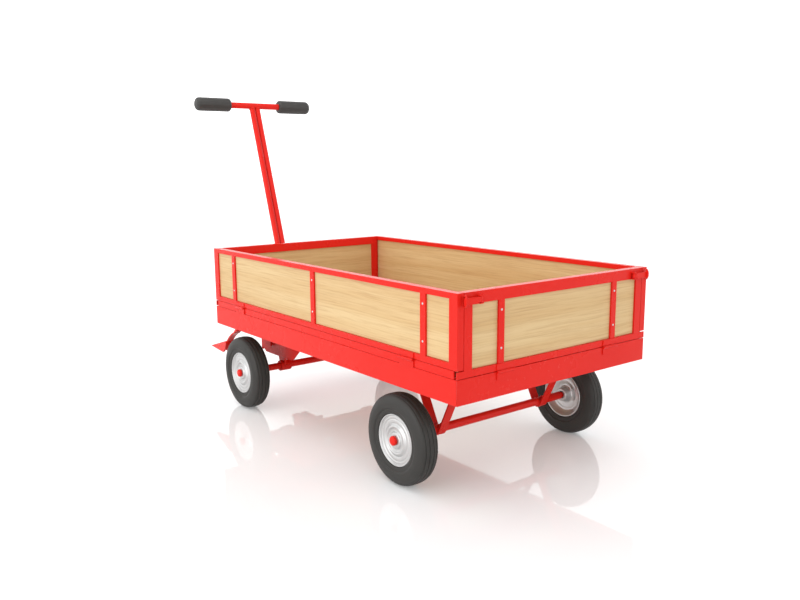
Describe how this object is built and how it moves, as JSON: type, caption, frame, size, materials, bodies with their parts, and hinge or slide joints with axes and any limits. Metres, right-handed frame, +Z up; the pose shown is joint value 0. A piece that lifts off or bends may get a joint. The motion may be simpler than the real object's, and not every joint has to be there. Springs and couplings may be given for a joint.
{
  "type": "garden cart",
  "caption": "Hand-pulled four-wheel garden cart with drop-down boarded sides, corner latches, steered front bogie, T-handle drawbar and foot brake.",
  "frame": {"origin": "ground level, under the middle of the whole cart with its drawbar at rest", "axes": "+X to the right seen from behind, +Y forward (the way it is pulled), +Z up"},
  "size_m": [0.7152, 1.6144, 1.0589],
  "materials": {
    "red_paint": "gloss powder coat on steel",
    "birch_ply": "clear satin lacquer on pale plywood",
    "tyre_rubber": "matt moulded",
    "grip_rubber": "matt foam",
    "wheel_silver": "satin, spun",
    "zinc_steel": "zinc plated"
  },
  "bodies": {
    "chassis": {"cross_member_1": "red_paint", "cross_member_2": "red_paint", "cross_member_3": "red_paint", "cross_member_4": "red_paint", "hinge_front_board_left": "red_paint", "hinge_front_board_right": "red_paint", "hinge_left_board_front": "red_paint", "hinge_left_board_rear": "red_paint", "hinge_rear_board_left": "red_paint", "hinge_rear_board_right": "red_paint", "hinge_right_board_front": "red_paint", "hinge_right_board_rear": "red_paint", "hinge_strip_left": "red_paint", "hinge_strip_right": "red_paint", "rear_axle": "red_paint", "rear_strut_left": "red_paint", "rear_strut_right": "red_paint", "skirt_front": "red_paint", "skirt_left": "red_paint", "skirt_rear": "red_paint", "skirt_right": "red_paint", "deck_board": "birch_ply", "turntable_upper": "red_paint", "kingpin": "zinc_steel"},
    "steering": {"bogie_tray": "red_paint", "front_axle": "red_paint", "front_strut_left": "red_paint", "front_strut_right": "red_paint", "drawbar_clevis": "red_paint", "drawbar_pin": "zinc_steel", "brake_bracket": "red_paint"},
    "drawbar": {"drawbar": "red_paint", "grip_left": "grip_rubber", "grip_right": "grip_rubber"},
    "brake": {"brake_lever": "red_paint"},
    "wheel_rear_left": {"tyre_rear_left": "tyre_rubber", "rim_rear_left": "wheel_silver", "hub_cap_rear_left": "red_paint"},
    "wheel_rear_right": {"tyre_rear_right": "tyre_rubber", "rim_rear_right": "wheel_silver", "hub_cap_rear_right": "red_paint"},
    "wheel_front_left": {"tyre_front_left": "tyre_rubber", "rim_front_left": "wheel_silver", "hub_cap_front_left": "red_paint"},
    "wheel_front_right": {"tyre_front_right": "tyre_rubber", "rim_front_right": "wheel_silver", "hub_cap_front_right": "red_paint"},
    "board_left": {"board_frame_left": "red_paint", "board_panel_left": "birch_ply"},
    "board_right": {"board_frame_right": "red_paint", "board_panel_right": "birch_ply"},
    "board_rear": {"board_frame_rear": "red_paint", "board_panel_rear": "birch_ply"},
    "latch_rear_left": {"latch_rear_left": "red_paint"},
    "latch_rear_right": {"latch_rear_right": "red_paint"},
    "board_front": {"board_frame_front": "red_paint", "board_panel_front": "birch_ply"},
    "latch_front_left": {"latch_front_left": "red_paint"},
    "latch_front_right": {"latch_front_right": "red_paint"}
  },
  "joints": [
    {"name": "steer", "type": "hinge", "parent": "chassis", "child": "steering", "pos_m": [0, 0.29624, 0.208], "axis": [0, 0, -1], "range_deg": [-35, 35]},
    {"name": "drawbar_tilt", "type": "hinge", "parent": "steering", "child": "drawbar", "pos_m": [0, 0.49924, 0.158], "axis": [-1, 0, 0], "range_deg": [-8, 80]},
    {"name": "brake_press", "type": "hinge", "parent": "steering", "child": "brake", "pos_m": [-0.32, 0.34924, 0.258], "axis": [-1, 0, 0], "range_deg": [0, 12]},
    {"name": "roll_rear_left", "type": "hinge", "parent": "chassis", "child": "wheel_rear_left", "pos_m": [-0.32, -0.55076, 0.12], "axis": [-1, 0, 0], "continuous": true},
    {"name": "roll_rear_right", "type": "hinge", "parent": "chassis", "child": "wheel_rear_right", "pos_m": [0.32, -0.55076, 0.12], "axis": [-1, 0, 0], "continuous": true},
    {"name": "roll_front_left", "type": "hinge", "parent": "steering", "child": "wheel_front_left", "pos_m": [-0.32, 0.29624, 0.12], "axis": [-1, 0, 0], "continuous": true},
    {"name": "roll_front_right", "type": "hinge", "parent": "steering", "child": "wheel_front_right", "pos_m": [0.32, 0.29624, 0.12], "axis": [-1, 0, 0], "continuous": true},
    {"name": "drop_left", "type": "hinge", "parent": "chassis", "child": "board_left", "pos_m": [-0.354, -0.17076, 0.3485], "axis": [0, -1, 0], "range_deg": [0, 180]},
    {"name": "drop_right", "type": "hinge", "parent": "chassis", "child": "board_right", "pos_m": [0.354, -0.17076, 0.3485], "axis": [0, 1, 0], "range_deg": [0, 180]},
    {"name": "drop_rear", "type": "hinge", "parent": "chassis", "child": "board_rear", "pos_m": [0, -0.79476, 0.3289], "axis": [1, 0, 0], "range_deg": [0, 180]},
    {"name": "swing_latch_rear_left", "type": "hinge", "parent": "board_rear", "child": "latch_rear_left", "pos_m": [-0.285, -0.79726, 0.511], "axis": [0, 0, 1], "range_deg": [0, 120]},
    {"name": "swing_latch_rear_right", "type": "hinge", "parent": "board_rear", "child": "latch_rear_right", "pos_m": [0.285, -0.79726, 0.511], "axis": [0, 0, -1], "range_deg": [0, 120]},
    {"name": "drop_front", "type": "hinge", "parent": "chassis", "child": "board_front", "pos_m": [0, 0.45324, 0.3289], "axis": [-1, 0, 0], "range_deg": [0, 40]},
    {"name": "swing_latch_front_left", "type": "hinge", "parent": "board_front", "child": "latch_front_left", "pos_m": [-0.285, 0.45574, 0.511], "axis": [0, 0, -1], "range_deg": [0, 120]},
    {"name": "swing_latch_front_right", "type": "hinge", "parent": "board_front", "child": "latch_front_right", "pos_m": [0.285, 0.45574, 0.511], "axis": [0, 0, 1], "range_deg": [0, 120]}
  ]
}
